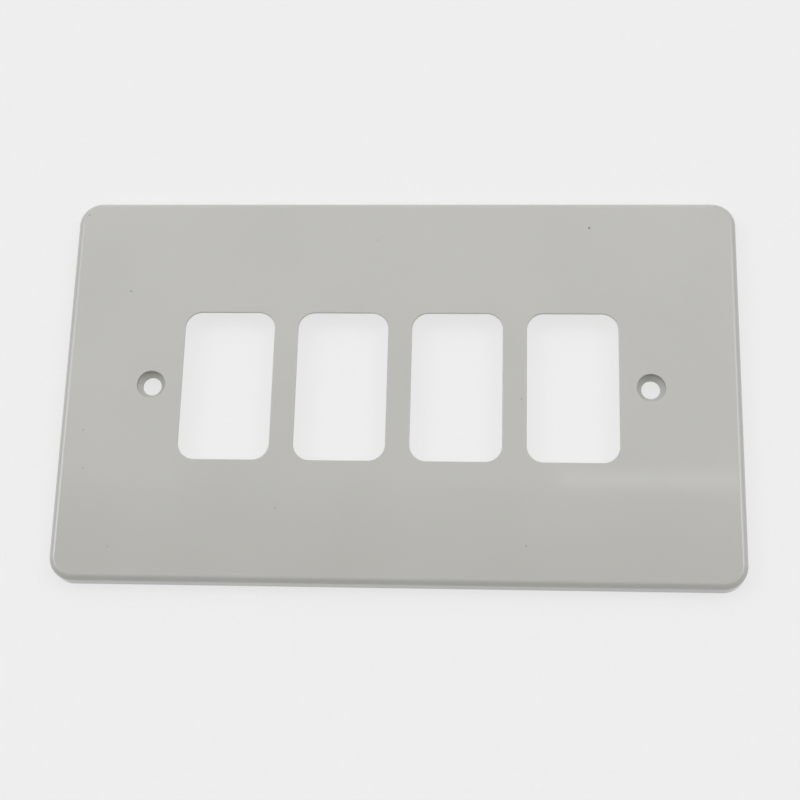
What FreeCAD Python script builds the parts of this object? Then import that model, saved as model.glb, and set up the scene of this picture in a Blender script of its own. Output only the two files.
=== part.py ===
import FreeCAD, Part
import math
import os

from FreeCAD import Vector

# Front plate of a grid switch set: one moulding, lying on its back.
# Millimetres. The origin is the middle of the back edge plane, +X along the length,
# +Y along the height and +Z out of the front face.

# Outline, measured at the back edge
plate_length = 146.0
plate_height = 86.0
plate_depth = 4.4
plate_corner = 5.2
side_draft = 2.0
edge_round = 1.6

# Wall thicknesses
panel = 2.0
skirt = 2.0
root_round = 1.0

# Row of apertures for the switch modules
aperture_count = 4
aperture_width = 19.6
aperture_height = 33.2
aperture_corner = 3.6
aperture_bar = 5.2
aperture_land = 0.3
aperture_edge_round = 0.2
lead_in_slope = 35.0

# Countersunk screw holes, one at each end of the row
screw_gap = 6.75
screw_bore = 4.0
head_rim = 6.1
head_sink = 1.0
head_angle = 110.0

# Cored bosses behind the screw holes, the rib ring that joins them and its webs
boss_core = 5.6
boss_wall = 1.4
rib_height = 1.2
rib_width = 1.2
rib_gap = 5.0
rib_corner = 6.0

# How far a cutting shape runs past the face it cuts, and a rib into the wall it stands on
cut_margin = 1.0
weld = 0.5

# Places worked out from the sizes above
face_z = plate_depth
panel_back_z = face_z - panel
seat_z = panel_back_z - rib_height
weld_z = panel_back_z + weld
side_lean = math.tan(math.radians(side_draft))
lead_in_lean = math.tan(math.radians(lead_in_slope))
lead_in_flare = (panel - aperture_land) * lead_in_lean
aperture_pitch = aperture_width + aperture_bar
row_length = aperture_count * aperture_pitch - aperture_bar
screw_x = row_length / 2 + screw_gap
rib_y = aperture_height / 2 + lead_in_flare + rib_gap
skirt_inset = skirt + seat_z * side_lean


def rounded_rectangle(length, height, corner, z):
    """Closed outline centred on the Z axis, made of four corner arcs and four straight sides."""
    x = length / 2 - corner
    y = height / 2 - corner
    arcs = []
    for quarter, (cx, cy) in enumerate([(x, y), (-x, y), (-x, -y), (x, -y)]):
        start = 90.0 * quarter
        arcs.append(Part.makeCircle(corner, Vector(cx, cy, z), Vector(0, 0, 1), start, start + 90.0))
    edges = []
    for arc, following in zip(arcs, arcs[1:] + arcs[:1]):
        end = arc.valueAt(arc.LastParameter)
        edges.append(arc)
        edges.append(Part.makeLine(end, following.valueAt(following.FirstParameter)))
    return Part.Wire(edges)


def tapered_block(length, height, corner, sections):
    """Solid through one outline, drawn in by a given inset at each given height."""
    outlines = []
    for z, inset in sections:
        outlines.append(rounded_rectangle(length - 2 * inset, height - 2 * inset, corner - inset, z))
    return Part.makeLoft(outlines, True, True)


def edges_at(shape, z):
    """Edges that lie wholly in the plane at height z."""
    return [e for e in shape.Edges if abs(e.BoundBox.ZMin - z) < 1e-6 and abs(e.BoundBox.ZMax - z) < 1e-6]


def moulded_shell():
    """Front panel with drafted sides, rounded all round its front edge and hollow behind."""
    outside = tapered_block(plate_length, plate_height, plate_corner,
                            [(0.0, 0.0), (face_z, face_z * side_lean)])
    outside = outside.makeFillet(edge_round, edges_at(outside, face_z))
    hollow = tapered_block(plate_length, plate_height, plate_corner,
                           [(-cut_margin, skirt - cut_margin * side_lean),
                            (panel_back_z, skirt + panel_back_z * side_lean)])
    hollow = hollow.makeFillet(root_round, edges_at(hollow, panel_back_z))
    return outside.cut(hollow)


def rib_ring():
    """Stiffening rib round the row of apertures, running through both screw bosses."""
    length = 2 * screw_x
    height = 2 * rib_y
    half = rib_width / 2
    outer = rounded_rectangle(length + rib_width, height + rib_width, rib_corner + half, seat_z)
    inner = rounded_rectangle(length - rib_width, height - rib_width, rib_corner - half, seat_z)
    ring = Part.makeFace([outer, inner], "Part::FaceMakerBullseye")
    return ring.extrude(Vector(0, 0, weld_z - seat_z))


def rib_webs():
    """Short ribs from the ring to the skirt, in line with the aperture bars and with the bosses."""
    depth = weld_z - seat_z
    end_y = plate_height / 2 - skirt_inset + weld
    end_x = plate_length / 2 - skirt_inset + weld
    webs = []
    for n in range(1, aperture_count):
        left = n * aperture_pitch - (row_length + aperture_bar + rib_width) / 2
        webs.append(Part.makeBox(rib_width, end_y - rib_y, depth, Vector(left, rib_y, seat_z)))
        webs.append(Part.makeBox(rib_width, end_y - rib_y, depth, Vector(left, -end_y, seat_z)))
    webs.append(Part.makeBox(end_x - screw_x, rib_width, depth, Vector(screw_x, -rib_width / 2, seat_z)))
    webs.append(Part.makeBox(end_x - screw_x, rib_width, depth, Vector(-end_x, -rib_width / 2, seat_z)))
    return webs


def screw_boss(x):
    """Round pad behind the panel that lands on the frame when the screw is tightened."""
    return Part.makeCylinder(boss_core / 2 + boss_wall, weld_z - seat_z, Vector(x, 0, seat_z))


def aperture_cut(x):
    """Opening for one switch module: a short straight land, flared on the back to guide the module in."""
    land_z = face_z - aperture_land
    flare_z = panel_back_z - cut_margin
    sections = [(flare_z, (flare_z - land_z) * lead_in_lean), (land_z, 0.0), (face_z + cut_margin, 0.0)]
    cut = tapered_block(aperture_width, aperture_height, aperture_corner, sections)
    cut.translate(Vector(x, 0, 0))
    return cut


def screw_cut(x):
    """Countersunk hole as one turned profile: boss core, bore, seat for the head and a straight sink."""
    core = boss_core / 2
    bore = screw_bore / 2
    rim = head_rim / 2
    cone_top = face_z - head_sink
    cone_bottom = cone_top - (rim - bore) / math.tan(math.radians(head_angle / 2))
    profile = [
        Vector(0, 0, seat_z - cut_margin),
        Vector(core, 0, seat_z - cut_margin),
        Vector(core, 0, panel_back_z),
        Vector(bore, 0, panel_back_z),
        Vector(bore, 0, cone_bottom),
        Vector(rim, 0, cone_top),
        Vector(rim, 0, face_z + cut_margin),
        Vector(0, 0, face_z + cut_margin),
    ]
    cut = Part.Face(Part.makePolygon(profile + profile[:1])).revolve(Vector(0, 0, 0), Vector(0, 0, 1), 360)
    cut.translate(Vector(x, 0, 0))
    return cut


def front_plate():
    """The whole moulding."""
    plate = moulded_shell()
    plate = plate.fuse([rib_ring(), screw_boss(-screw_x), screw_boss(screw_x)] + rib_webs())
    first_x = -(row_length - aperture_width) / 2
    plate = plate.cut([aperture_cut(first_x + n * aperture_pitch) for n in range(aperture_count)])
    face = max(plate.Faces, key=lambda f: f.CenterOfMass.z)
    mouths = [e for wire in face.Wires if not wire.isSame(face.OuterWire) for e in wire.Edges]
    plate = plate.makeFillet(aperture_edge_round, mouths)
    return plate.cut([screw_cut(-screw_x), screw_cut(screw_x)])


os.makedirs("parts", exist_ok=True)
plate = front_plate()
plate.exportStep("parts/front_plate.step")
print("front_plate", plate.ShapeType, len(plate.Solids), "solid, valid", plate.isValid(),
      "volume %.0f" % plate.Volume, plate.BoundBox)
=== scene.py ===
import math

import bpy
from mathutils import Euler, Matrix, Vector


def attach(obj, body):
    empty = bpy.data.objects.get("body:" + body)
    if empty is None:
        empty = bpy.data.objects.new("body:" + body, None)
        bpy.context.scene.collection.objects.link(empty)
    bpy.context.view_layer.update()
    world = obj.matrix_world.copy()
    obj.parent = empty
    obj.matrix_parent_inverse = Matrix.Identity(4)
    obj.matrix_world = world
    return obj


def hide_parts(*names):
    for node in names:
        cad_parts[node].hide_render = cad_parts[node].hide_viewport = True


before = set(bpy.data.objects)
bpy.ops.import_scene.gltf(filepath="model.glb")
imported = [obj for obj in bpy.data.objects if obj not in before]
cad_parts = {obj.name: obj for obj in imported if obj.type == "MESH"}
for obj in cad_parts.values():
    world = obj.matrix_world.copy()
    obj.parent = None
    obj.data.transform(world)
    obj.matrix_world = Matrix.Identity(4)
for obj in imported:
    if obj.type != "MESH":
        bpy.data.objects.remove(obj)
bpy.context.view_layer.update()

MM = 0.001

# Sizes of the moulding in millimetres, as in the part's source, and a fine lip round the screw sinks
plate_sizes = {
    "Length": 146.0,
    "Height": 86.0,
    "Depth": 4.4,
    "Corner": 5.2,
    "Edge round": 1.6,
    "Panel": 2.0,
    "Skirt": 2.0,
    "Root round": 1.0,
    "Aperture width": 19.6,
    "Aperture height": 33.2,
    "Aperture corner": 3.6,
    "Aperture bar": 5.2,
    "Aperture land": 0.3,
    "Mouth round": 0.2,
    "Screw gap": 6.75,
    "Screw bore": 4.0,
    "Head rim": 6.1,
    "Head sink": 1.0,
    "Head lip": 0.12,
    "Boss core": 5.6,
    "Boss wall": 1.4,
    "Rib height": 1.2,
    "Rib width": 1.2,
    "Rib gap": 5.0,
    "Rib corner": 6.0,
    "Cut margin": 1.0,
    "Weld": 0.5,
}

# Its angles in degrees
plate_angles = {"Side draft": 2.0, "Lead-in slope": 35.0, "Head angle": 110.0}

# How many apertures it has, and the steps in each corner and each rounded edge
plate_counts = {"Apertures": 4, "Corner steps": 20, "Round steps": 12}

# Corners closer than this are one corner, in metres
same_corner = 1e-7

# Edges that turn by more than this many degrees stay sharp
crease_angle = 25.0

# How far the larger faces set the shading of a corner that they share, from 1 to 100
flat_weight = 95

white = (1.0, 1.0, 1.0, 1.0)

# Finish of the plastic, with depths in millimetres
plastic_deep = (0.495, 0.491, 0.464, 1.0)
plastic_pale = (0.515, 0.511, 0.484, 1.0)
plastic_ior = 1.5
gloss_roughness = (0.03, 0.06)
grain_depth = 0.0002
swell_depth = 0.006

# Dust specks: colour, how ragged they are in millimetres, and the share of the radius that is fully dark
speck_colour = (0.10, 0.09, 0.075, 1.0)
speck_raggedness = 0.25
speck_core = 0.4

# Noise patterns: scale to the metre and levels of detail
mottle_pattern = (38.0, 4.0)
swell_pattern = (55.0, 1.0)
haze_pattern = (140.0, 6.0)
fibre_pattern = (900.0, 3.0)
grain_pattern = (2600.0, 2.0)
ragged_pattern = (4200.0, 1.0)

# Range that most values of a noise pattern lie in, and its middle
noise_range = (0.3, 0.7)
noise_middle = (0.5, 0.5, 0.5)

# Sheet under the plate: half its width is in metres, and its drop below the plate in millimetres
sheet_deep = (0.17, 0.17, 0.17, 1.0)
sheet_pale = (0.18, 0.18, 0.18, 1.0)
sheet_roughness = 0.9
sheet_glow = 0.69
sheet_half = 3.0
sheet_drop = 0.02

# Tilt from overhead to level, in degrees
level_tilt = 90.0

# Room light: brightness against the tilt from overhead towards the back, in degrees
room_light = [
    (-60.0, 0.15), (-44.0, 0.2), (-26.0, 0.8), (-4.0, 0.8), (9.0, 0.1), (11.5, 0.1),
    (14.0, 0.75), (24.0, 1.35), (30.0, 1.35), (38.0, 0.8), (75.0, 0.8), (90.0, 0.6),
]

# Window high on each side: brightness against the tilt to the right
window_light = [
    (-58.0, 0.0), (-48.0, 4.0), (-37.0, 4.0), (-28.0, 0.0),
    (26.0, 0.0), (32.0, 3.6), (41.0, 3.6), (50.0, 0.0),
]

# Share of the windows' brightness against the tilt to the back
window_share = [(-10.0, 0.0), (6.0, 0.9), (17.0, 1.0), (23.0, 0.6), (32.0, 0.3), (45.0, 0.0)]

# Ceiling that starts a little behind the plate, and the light that it adds
ceiling_tilt = (14.0, 14.4)
ceiling_light = 0.25

# Bright strip in the ceiling near its start, facing down: place and size in metres
strip_place = (0.21, 0.365, 1.49)
strip_size = (0.24, 0.02)
strip_light = 1.1

# Low part of the room, brighter towards the back, and the pale horizon under it: elevations in degrees
low_room = (12.0, 35.0)
low_room_light = 0.38
low_room_back = 0.22
horizon = (1.5, 6.0)
horizon_light = 0.84

# Camera, in millimetres and degrees
camera_lens = 71.804
camera_place = (21.93, -104.33, 329.38)
camera_turn = (17.350, 3.331, 1.495)

# Dust and small marks on the face: place, radius in millimetres, and how dark
dust_specks = [
    (40.96, 36.73, 0.32, 0.80),
    (-70.56, 39.77, 0.28, 0.50),
    (-59.74, 21.50, 0.32, 0.45),
    (26.27, -2.72, 0.26, 0.40),
    (-67.73, -10.50, 0.24, 0.45),
    (-67.00, -18.89, 0.24, 0.45),
    (-25.36, -27.17, 0.26, 0.45),
    (27.33, -34.57, 0.26, 0.45),
    (-5.63, 33.77, 0.24, 0.25),
    (-60.38, -35.83, 0.24, 0.25),
]


def feed(tree, socket, value):
    """Links a size, a socket or a list of sockets to an input, or sets the input's own value."""
    if isinstance(value, Size):
        value = value.socket
    if isinstance(value, bpy.types.NodeSocket):
        tree.links.new(value, socket)
    elif isinstance(value, list):
        for one in value:
            tree.links.new(one, socket)
    else:
        socket.default_value = value


def add_node(tree, kind, inputs=None, **settings):
    """New node with its settings made and its inputs fed."""
    node = tree.nodes.new(kind)
    for name, value in settings.items():
        setattr(node, name, value)
    for name, value in (inputs or {}).items():
        feed(tree, node.inputs[name], value)
    return node


class Size:
    """A number in a node tree. Sums and products of sizes become Math nodes."""

    def __init__(self, tree, socket):
        self.tree = tree
        self.socket = socket

    def worked(self, operation, *others):
        node = add_node(self.tree, "ShaderNodeMath", operation=operation)
        for socket, number in zip(node.inputs, (self, *others)):
            feed(self.tree, socket, number)
        return Size(self.tree, node.outputs[0])

    def __add__(self, other):
        return self.worked("ADD", other)

    def __sub__(self, other):
        return self.worked("SUBTRACT", other)

    def __mul__(self, other):
        return self.worked("MULTIPLY", other)

    def __truediv__(self, other):
        return self.worked("DIVIDE", other)

    def __neg__(self):
        return self.worked("MULTIPLY", -1.0)

    def tangent(self):
        return self.worked("TANGENT")


def new_object(name, data):
    """New object in the scene's own collection."""
    made = bpy.data.objects.new(name, data)
    bpy.context.scene.collection.objects.link(made)
    return made


def new_tree(name, inputs):
    """Empty node tree with named inputs and one geometry output, and its inputs as sizes or sockets."""
    tree = bpy.data.node_groups.new(name, "GeometryNodeTree")
    for label, kind in inputs.items():
        tree.interface.new_socket(label, in_out="INPUT", socket_type=kind)
    tree.interface.new_socket("Geometry", in_out="OUTPUT", socket_type="NodeSocketGeometry")
    sockets = add_node(tree, "NodeGroupInput").outputs
    given = {}
    for label, kind in inputs.items():
        number = kind in ("NodeSocketFloat", "NodeSocketInt")
        given[label] = Size(tree, sockets[label]) if number else sockets[label]
    return tree, given


def end_tree(tree, geometry):
    """Sends the finished geometry out of the tree."""
    tree.links.new(geometry, add_node(tree, "NodeGroupOutput").inputs["Geometry"])


def vector(tree, x=0.0, y=0.0, z=0.0):
    return add_node(tree, "ShaderNodeCombineXYZ", {"X": x, "Y": y, "Z": z}).outputs[0]


def vector_work(tree, operation, *parts):
    node = add_node(tree, "ShaderNodeVectorMath", operation=operation)
    sockets = [node.inputs[0], node.inputs["Scale"]] if operation == "SCALE" else node.inputs
    for socket, part in zip(sockets, parts):
        feed(tree, socket, part)
    return node.outputs[0]


def captured(tree, geometry, fields):
    """Geometry that carries the given point fields with it, and the carried fields."""
    node = add_node(tree, "GeometryNodeCaptureAttribute", {"Geometry": geometry})
    for name, (kind, field) in fields.items():
        node.capture_items.new(kind, name)
        feed(tree, node.inputs[name], field)
    return node.outputs["Geometry"], [node.outputs[name] for name in fields]


def rounded_block_tree():
    """Solid with a rounded rectangular outline, whose sides follow a section drawn as (inset, level)."""
    tree, given = new_tree("Rounded block", {
        "Length": "NodeSocketFloat", "Height": "NodeSocketFloat", "Corner": "NodeSocketFloat",
        "Corner steps": "NodeSocketInt", "Section": "NodeSocketGeometry"})
    corner = given["Corner"]
    rectangle = add_node(tree, "GeometryNodeCurvePrimitiveQuadrilateral",
                         {"Width": given["Length"], "Height": given["Height"]}).outputs[0]
    outline = add_node(tree, "GeometryNodeFilletCurve",
                       {"Curve": rectangle, "Count": given["Corner steps"], "Radius": corner},
                       mode="POLY").outputs[0]

    # Each outline point knows the centre of its corner arc and the way out from there
    place = add_node(tree, "GeometryNodeInputPosition").outputs[0]
    reach = vector(tree, given["Length"] / 2.0 - corner, given["Height"] / 2.0 - corner)
    centre = vector_work(tree, "MAXIMUM", place, vector_work(tree, "SCALE", reach, -1.0))
    centre = vector_work(tree, "MINIMUM", centre, reach)
    outward = vector_work(tree, "NORMALIZE", vector_work(tree, "SUBTRACT", place, centre))
    outline, (centre, outward) = captured(tree, outline, {
        "Centre": ("VECTOR", centre), "Outward": ("VECTOR", outward)})

    section_place = add_node(tree, "ShaderNodeSeparateXYZ", {"Vector": place})
    section, (inset, level) = captured(tree, given["Section"], {
        "Inset": ("FLOAT", section_place.outputs["X"]), "Level": ("FLOAT", section_place.outputs["Y"])})

    def drawn_in(inset, level):
        out = vector_work(tree, "SCALE", outward, corner - inset)
        flat = vector_work(tree, "ADD", centre, out)
        return vector_work(tree, "ADD", flat, vector(tree, z=level))

    sides = add_node(tree, "GeometryNodeCurveToMesh",
                     {"Curve": outline, "Profile Curve": section}).outputs[0]
    sides = add_node(tree, "GeometryNodeSetPosition",
                     {"Geometry": sides, "Position": drawn_in(inset, level)}).outputs[0]
    sides = add_node(tree, "GeometryNodeFlipFaces", {"Mesh": sides}).outputs[0]

    def cap(factor):
        end = add_node(tree, "GeometryNodeSampleCurve", {"Curves": given["Section"], "Factor": factor})
        end = add_node(tree, "ShaderNodeSeparateXYZ", {"Vector": end.outputs["Position"]})
        ring = add_node(tree, "GeometryNodeSetPosition",
                        {"Geometry": outline, "Position": drawn_in(end.outputs["X"], 0.0)}).outputs[0]
        face = add_node(tree, "GeometryNodeFillCurve", {"Curve": ring}, mode="NGONS").outputs[0]
        return add_node(tree, "GeometryNodeTransform", {
            "Geometry": face, "Translation": vector(tree, z=end.outputs["Y"])}).outputs[0]

    back_cap = add_node(tree, "GeometryNodeFlipFaces", {"Mesh": cap(0.0)}).outputs[0]
    whole = add_node(tree, "GeometryNodeJoinGeometry",
                     {"Geometry": [sides, back_cap, cap(1.0)]}).outputs[0]
    whole = add_node(tree, "GeometryNodeMergeByDistance",
                     {"Geometry": whole, "Distance": same_corner}).outputs[0]
    end_tree(tree, whole)
    return tree


def section_line(tree, corners, steps):
    """Open line through the corners of a section, given as (inset, level, round)."""
    place = add_node(tree, "GeometryNodeIndexSwitch", data_type="VECTOR")
    turn = add_node(tree, "GeometryNodeIndexSwitch", data_type="FLOAT")
    index = add_node(tree, "GeometryNodeInputIndex").outputs[0]
    for switch in (place, turn):
        while len(switch.index_switch_items) < len(corners):
            switch.index_switch_items.new()
        feed(tree, switch.inputs["Index"], index)
    for n, (inset, level, radius) in enumerate(corners):
        feed(tree, place.inputs[n + 1], vector(tree, inset, level))
        feed(tree, turn.inputs[n + 1], radius)
    points = add_node(tree, "GeometryNodePoints",
                      {"Count": len(corners), "Position": place.outputs[0]}).outputs[0]
    line = add_node(tree, "GeometryNodePointsToCurves", {"Points": points, "Weight": index}).outputs[0]
    return add_node(tree, "GeometryNodeFilletCurve",
                    {"Curve": line, "Count": steps, "Radius": turn.outputs[0]}, mode="POLY").outputs[0]


def front_plate_tree(block_tree):
    """The whole moulding: a hollow panel with rounded edges, its apertures, screw holes and ribs."""
    kinds = {name: "NodeSocketFloat" for name in [*plate_sizes, *plate_angles]}
    kinds.update({name: "NodeSocketInt" for name in plate_counts})
    kinds["Plastic"] = "NodeSocketMaterial"
    tree, given = new_tree("Front plate", kinds)

    # Places worked out from the sizes
    face = given["Depth"]
    panel_back = face - given["Panel"]
    rib_seat = panel_back - given["Rib height"]
    rib_root = panel_back + given["Weld"]
    margin = given["Cut margin"]
    side_lean = given["Side draft"].tangent()
    lead_lean = given["Lead-in slope"].tangent()
    lead_flare = (given["Panel"] - given["Aperture land"]) * lead_lean
    pitch = given["Aperture width"] + given["Aperture bar"]
    row = pitch * given["Apertures"] - given["Aperture bar"]
    screw_x = row / 2.0 + given["Screw gap"]
    rib_y = given["Aperture height"] / 2.0 + lead_flare + given["Rib gap"]
    rib_width = given["Rib width"]
    skirt_inset = given["Skirt"] + rib_seat * side_lean

    def block(length, height, corner, corners):
        made = add_node(tree, "GeometryNodeGroup", node_tree=block_tree)
        inputs = {"Length": length, "Height": height, "Corner": corner,
                  "Corner steps": given["Corner steps"],
                  "Section": section_line(tree, corners, given["Round steps"])}
        for name, value in inputs.items():
            feed(tree, made.inputs[name], value)
        return made.outputs[0]

    def straight(low, high):
        return [(0.0, low, 0.0), (0.0, high, 0.0)]

    def joined(operation, first, others):
        inputs = {"Mesh 2": others}
        if first is not None:
            inputs["Mesh 1"] = first
        return add_node(tree, "GeometryNodeMeshBoolean", inputs, operation=operation,
                        solver="MANIFOLD").outputs["Mesh"]

    def placed(points, piece):
        each = add_node(tree, "GeometryNodeInstanceOnPoints",
                        {"Points": points, "Instance": piece}).outputs[0]
        return add_node(tree, "GeometryNodeRealizeInstances", {"Geometry": each}).outputs[0]

    def row_of(count, start_x, step_x):
        return add_node(tree, "GeometryNodeMeshLine", {
            "Count": count, "Start Location": vector(tree, start_x),
            "Offset": vector(tree, step_x)}).outputs[0]

    def bar(size_x, size_y):
        cube = add_node(tree, "GeometryNodeMeshCube", {
            "Size": vector(tree, size_x, size_y, rib_root - rib_seat)}).outputs[0]
        return add_node(tree, "GeometryNodeTransform", {
            "Geometry": cube, "Translation": vector(tree, z=(rib_root + rib_seat) / 2.0)}).outputs[0]

    # Hollow shell with a rounded front edge
    face_inset = face * side_lean
    outside = block(given["Length"], given["Height"], given["Corner"], [
        (0.0, 0.0, 0.0), (face_inset, face, given["Edge round"]),
        (face_inset + given["Edge round"], face, 0.0)])
    root_inset = given["Skirt"] + panel_back * side_lean
    hollow = block(given["Length"], given["Height"], given["Corner"], [
        (given["Skirt"] - margin * side_lean, -margin, 0.0),
        (root_inset, panel_back, given["Root round"]),
        (root_inset + given["Root round"], panel_back, 0.0)])
    shell = joined("DIFFERENCE", outside, [hollow])

    # Rib ring, its webs and the bosses behind the panel
    ring_outer = block(screw_x * 2.0 + rib_width, rib_y * 2.0 + rib_width,
                       given["Rib corner"] + rib_width / 2.0, straight(rib_seat, rib_root))
    ring_inner = block(screw_x * 2.0 - rib_width, rib_y * 2.0 - rib_width,
                       given["Rib corner"] - rib_width / 2.0,
                       straight(rib_seat - margin, rib_root + margin))
    ring = joined("DIFFERENCE", ring_outer, [ring_inner])
    both_screws = row_of(2, -screw_x, screw_x * 2.0)
    boss_radius = given["Boss core"] / 2.0 + given["Boss wall"]
    bosses = placed(both_screws, block(boss_radius * 2.0, boss_radius * 2.0, boss_radius,
                                       straight(rib_seat, rib_root)))
    web_end_y = given["Height"] / 2.0 - skirt_inset + given["Weld"]
    web_end_x = given["Length"] / 2.0 - skirt_inset + given["Weld"]
    between = add_node(tree, "GeometryNodeMeshGrid", {
        "Size X": pitch * (given["Apertures"] - 2.0), "Size Y": web_end_y + rib_y,
        "Vertices X": given["Apertures"] - 1.0, "Vertices Y": 2}).outputs[0]
    long_webs = placed(between, bar(rib_width, web_end_y - rib_y))
    end_webs = placed(row_of(2, -(web_end_x + screw_x) / 2.0, web_end_x + screw_x),
                      bar(web_end_x - screw_x, rib_width))
    body = joined("UNION", None, [shell, ring, bosses, long_webs, end_webs])

    # Apertures with a soft front edge, a short land and a flared back
    land = face - given["Aperture land"]
    flare_end = panel_back - margin
    mouth = given["Mouth round"]
    aperture = block(given["Aperture width"], given["Aperture height"], given["Aperture corner"], [
        ((flare_end - land) * lead_lean, flare_end, 0.0), (0.0, land, 0.0), (0.0, face, mouth),
        (-mouth, face, 0.0), (-mouth, face + margin, 0.0)])
    apertures = placed(row_of(given["Apertures"], (given["Aperture width"] - row) / 2.0, pitch), aperture)

    # Countersunk screw holes, wider through the bosses
    rim = given["Head rim"] / 2.0
    narrowing = rim - given["Screw bore"] / 2.0
    cone_top = face - given["Head sink"]
    cone_bottom = cone_top - narrowing / (given["Head angle"] / 2.0).tangent()
    core = rim - given["Boss core"] / 2.0
    lip = given["Head lip"]
    screw_hole = block(given["Head rim"], given["Head rim"], rim, [
        (core, rib_seat - margin, 0.0), (core, panel_back, 0.0), (narrowing, panel_back, 0.0),
        (narrowing, cone_bottom, 0.0), (0.0, cone_top, 0.0),
        (0.0, face, lip), (-lip, face, 0.0), (-lip, face + margin, 0.0)])
    screw_holes = placed(both_screws, screw_hole)

    whole = joined("DIFFERENCE", body, [apertures, screw_holes])
    whole = add_node(tree, "GeometryNodeMergeByDistance",
                     {"Geometry": whole, "Distance": same_corner}).outputs[0]
    whole = add_node(tree, "GeometryNodeSetShadeSmooth", {"Geometry": whole}).outputs[0]
    whole = add_node(tree, "GeometryNodeRealizeInstances", {"Geometry": whole}).outputs[0]
    whole = add_node(tree, "GeometryNodeSetMaterial",
                     {"Geometry": whole, "Material": given["Plastic"]}).outputs[0]
    end_tree(tree, whole)
    return tree


def plain_mesh(maker, name):
    """The evaluated object's mesh on its own, with the object that made it removed."""
    graph = bpy.context.evaluated_depsgraph_get()
    mesh = bpy.data.meshes.new_from_object(maker.evaluated_get(graph), preserve_all_data_layers=True,
                                           depsgraph=graph)
    mesh.name = name
    bpy.data.objects.remove(maker)
    return mesh


def make_front_plate(plastic):
    """Runs the plate's tree with its sizes, and leaves a plain mesh."""
    tree = front_plate_tree(rounded_block_tree())
    maker = new_object("plate_maker", bpy.data.meshes.new("plate_maker"))
    modifier = maker.modifiers.new("Front plate", "NODES")
    modifier.node_group = tree
    values = {name: size * MM for name, size in plate_sizes.items()}
    values.update({name: math.radians(angle) for name, angle in plate_angles.items()})
    values.update(plate_counts)
    values["Plastic"] = plastic
    for item in tree.interface.items_tree:
        if item.in_out == "INPUT":
            modifier[item.identifier] = values[item.name]
    mesh = plain_mesh(maker, "front_plate_moulding")
    mesh.set_sharp_from_angle(angle=math.radians(crease_angle))

    # The flats and walls, being larger, set the shading along the lines where the rounds meet them
    maker = new_object("front_plate_moulding", mesh)
    weighted = maker.modifiers.new("Shading", "WEIGHTED_NORMAL")
    weighted.weight = flat_weight
    weighted.keep_sharp = True
    return new_object("front_plate_moulding", plain_mesh(maker, "front_plate_moulding"))


def noise(tree, place, pattern):
    """Outputs of a noise pattern given as (scale, detail)."""
    scale, detail = pattern
    return add_node(tree, "ShaderNodeTexNoise",
                    {"Vector": place, "Scale": scale, "Detail": detail}).outputs


def spread(tree, value, limits=(0.0, 1.0)):
    """Carries a noise pattern's usual range to the range between the limits."""
    return add_node(tree, "ShaderNodeMapRange", {
        "Value": value, "From Min": noise_range[0], "From Max": noise_range[1],
        "To Min": limits[0], "To Max": limits[1]}).outputs[0]


def colour_mix(tree, factor, first, second):
    """Mix of two colours, on sockets that go by place because other sockets share their names."""
    node = add_node(tree, "ShaderNodeMix", data_type="RGBA")
    for socket, value in zip((node.inputs[0], node.inputs[6], node.inputs[7]), (factor, first, second)):
        feed(tree, socket, value)
    return node.outputs[2]


def speck_mask(tree, place):
    """Strength of the dust specks, each a small uneven spot on the face."""
    ragged = vector_work(tree, "SUBTRACT", noise(tree, place, ragged_pattern)["Color"], noise_middle)
    place = vector_work(tree, "ADD", place, vector_work(tree, "SCALE", ragged, speck_raggedness * MM))
    spots = []
    for x, y, radius, strength in dust_specks:
        centre = (x * MM, y * MM, plate_sizes["Depth"] * MM)
        away = add_node(tree, "ShaderNodeVectorMath", operation="DISTANCE")
        feed(tree, away.inputs[0], place)
        feed(tree, away.inputs[1], centre)
        spot = add_node(tree, "ShaderNodeMapRange", {
            "Value": away.outputs["Value"], "From Min": speck_core * radius * MM, "From Max": radius * MM,
            "To Min": strength, "To Max": 0.0}, interpolation_type="SMOOTHSTEP").outputs[0]
        spots.append(Size(tree, spot))
    mask = spots[0]
    for spot in spots[1:]:
        mask = mask.worked("MAXIMUM", spot)
    return mask


def moulded_plastic():
    """Glossy plastic with faint mottling, a fine grain, a slight swell, haze and a few dust specks."""
    material = bpy.data.materials.new("moulded_plastic")
    material.use_nodes = True
    tree = material.node_tree
    shader = tree.nodes["Principled BSDF"]
    place = add_node(tree, "ShaderNodeTexCoord").outputs["Object"]

    mottle = spread(tree, noise(tree, place, mottle_pattern)["Fac"])
    colour = colour_mix(tree, mottle, plastic_deep, plastic_pale)
    colour = colour_mix(tree, speck_mask(tree, place), colour, speck_colour)
    tree.links.new(colour, shader.inputs["Base Color"])

    haze = noise(tree, place, haze_pattern)["Fac"]
    tree.links.new(spread(tree, haze, gloss_roughness), shader.inputs["Roughness"])
    shader.inputs["IOR"].default_value = plastic_ior

    swell = noise(tree, place, swell_pattern)["Fac"]
    grain = noise(tree, place, grain_pattern)["Fac"]
    bump = add_node(tree, "ShaderNodeBump", {
        "Strength": 1.0, "Distance": swell_depth * MM, "Height": swell}).outputs[0]
    bump = add_node(tree, "ShaderNodeBump", {
        "Strength": 1.0, "Distance": grain_depth * MM, "Height": grain, "Normal": bump}).outputs[0]
    tree.links.new(bump, shader.inputs["Normal"])
    return material


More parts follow.
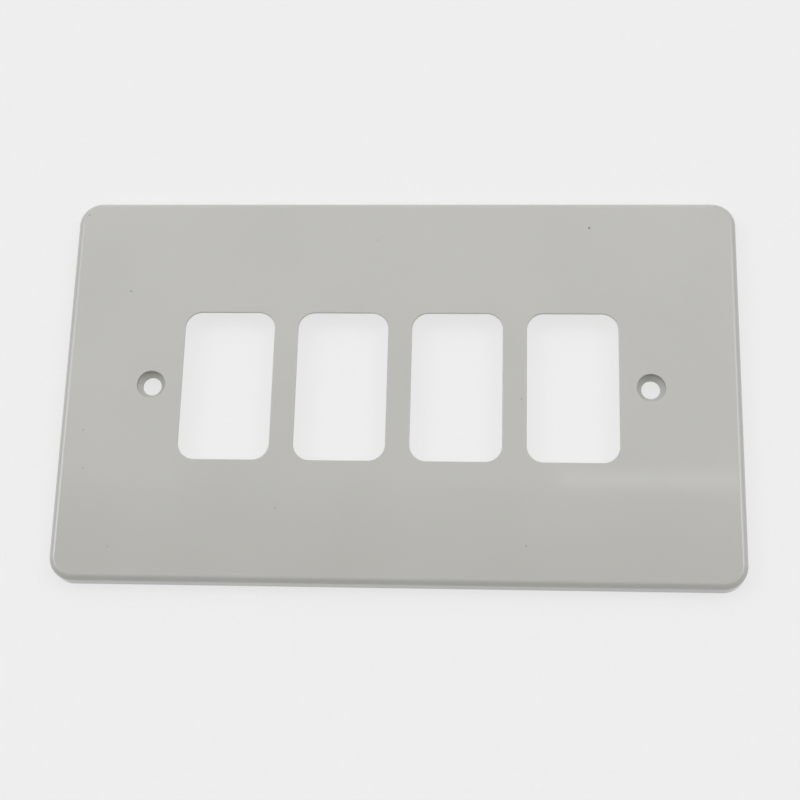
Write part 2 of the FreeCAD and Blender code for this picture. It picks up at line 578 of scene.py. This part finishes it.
def pale_floor():
    """Large pale sheet under the plate, with a glow of its own like a light table."""
    material = bpy.data.materials.new("pale_sheet")
    material.use_nodes = True
    tree = material.node_tree
    shader = tree.nodes["Principled BSDF"]
    place = add_node(tree, "ShaderNodeTexCoord").outputs["Object"]
    fibre = spread(tree, noise(tree, place, fibre_pattern)["Fac"])
    tree.links.new(colour_mix(tree, fibre, sheet_deep, sheet_pale), shader.inputs["Base Color"])
    shader.inputs["Roughness"].default_value = sheet_roughness
    shader.inputs["Specular IOR Level"].default_value = 0.0
    shader.inputs["Emission Color"].default_value = white
    shader.inputs["Emission Strength"].default_value = sheet_glow

    corners = [(-sheet_half, -sheet_half, 0.0), (sheet_half, -sheet_half, 0.0),
               (sheet_half, sheet_half, 0.0), (-sheet_half, sheet_half, 0.0)]
    mesh = bpy.data.meshes.new("floor")
    mesh.from_pydata(corners, [], [(0, 1, 2, 3)])
    mesh.materials.append(material)
    floor = new_object("floor", mesh)
    floor.location.z = -sheet_drop * MM


def ceiling_strip():
    """Evenly bright rectangular light in the ceiling, facing down."""
    width, height = strip_size
    data = bpy.data.lights.new("strip_panel", "AREA")
    data.shape = "RECTANGLE"
    data.size = width
    data.size_y = height
    data.energy = strip_light * math.pi * width * height
    new_object("strip_panel", data).location = strip_place


def tilt_light(tree, tilt, stops):
    """Brightness that runs through stops given as (tilt in degrees, brightness)."""
    most = max(brightness for _, brightness in stops)
    share = add_node(tree, "ShaderNodeMapRange", {
        "Value": tilt, "From Min": -level_tilt, "From Max": level_tilt}).outputs[0]
    ramp = add_node(tree, "ShaderNodeValToRGB", {"Fac": share})

    # The first stop takes over the ramp's own first mark, and the others get new ones
    marks = ramp.color_ramp.elements
    marks.remove(marks[1])
    for n, (angle, brightness) in enumerate(stops):
        position = (angle + level_tilt) / (2.0 * level_tilt)
        mark = marks.new(position) if n else marks[0]
        mark.position = position
        level = brightness / most
        mark.color = (level, level, level, 1.0)
    return Size(tree, ramp.outputs["Color"]) * most


def rise(tree, value, limits):
    """Share that rises smoothly from none at the lower limit to all at the upper one."""
    return Size(tree, add_node(tree, "ShaderNodeMapRange", {
        "Value": value, "From Min": limits[0], "From Max": limits[1]},
        interpolation_type="SMOOTHSTEP").outputs[0])


def studio_light():
    """Soft room: light from overhead, a window high on each side, a calm low part and a pale horizon."""
    world = bpy.data.worlds.new("studio")
    bpy.context.scene.world = world
    world.use_nodes = True
    tree = world.node_tree
    way = add_node(tree, "ShaderNodeTexCoord").outputs["Generated"]
    way = add_node(tree, "ShaderNodeSeparateXYZ", {"Vector": way})
    right, back, up = [Size(tree, way.outputs[axis]) for axis in "XYZ"]
    back_tilt = back.worked("ARCTAN2", up) * math.degrees(1.0)
    side_tilt = right.worked("ARCTAN2", up) * math.degrees(1.0)
    elevation = up.worked("ARCSINE") * math.degrees(1.0)
    level = (right * right + back * back).worked("SQRT")

    windows = tilt_light(tree, side_tilt, window_light) * tilt_light(tree, back_tilt, window_share)
    ceiling = rise(tree, back_tilt, ceiling_tilt) * ceiling_light
    overhead = tilt_light(tree, back_tilt, room_light) + ceiling + windows
    low = back / level * low_room_back + low_room_light
    light = low + (overhead - low) * rise(tree, elevation, low_room)
    light = (light - horizon_light) * rise(tree, elevation, horizon) + horizon_light
    background = tree.nodes["Background"]
    feed(tree, background.inputs["Strength"], light)
    feed(tree, background.inputs["Color"], white)


def place_camera():
    """Camera where the photograph was taken from."""
    camera = new_object("camera", bpy.data.cameras.new("camera"))
    camera.data.lens = camera_lens
    camera.location = Vector(camera_place) * MM
    camera.rotation_euler = Euler([math.radians(angle) for angle in camera_turn], "XYZ")
    bpy.context.scene.camera = camera


plate = make_front_plate(moulded_plastic())
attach(plate, "root")
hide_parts("front_plate")
pale_floor()
studio_light()
ceiling_strip()
place_camera()
bpy.context.scene.view_settings.view_transform = "Standard"
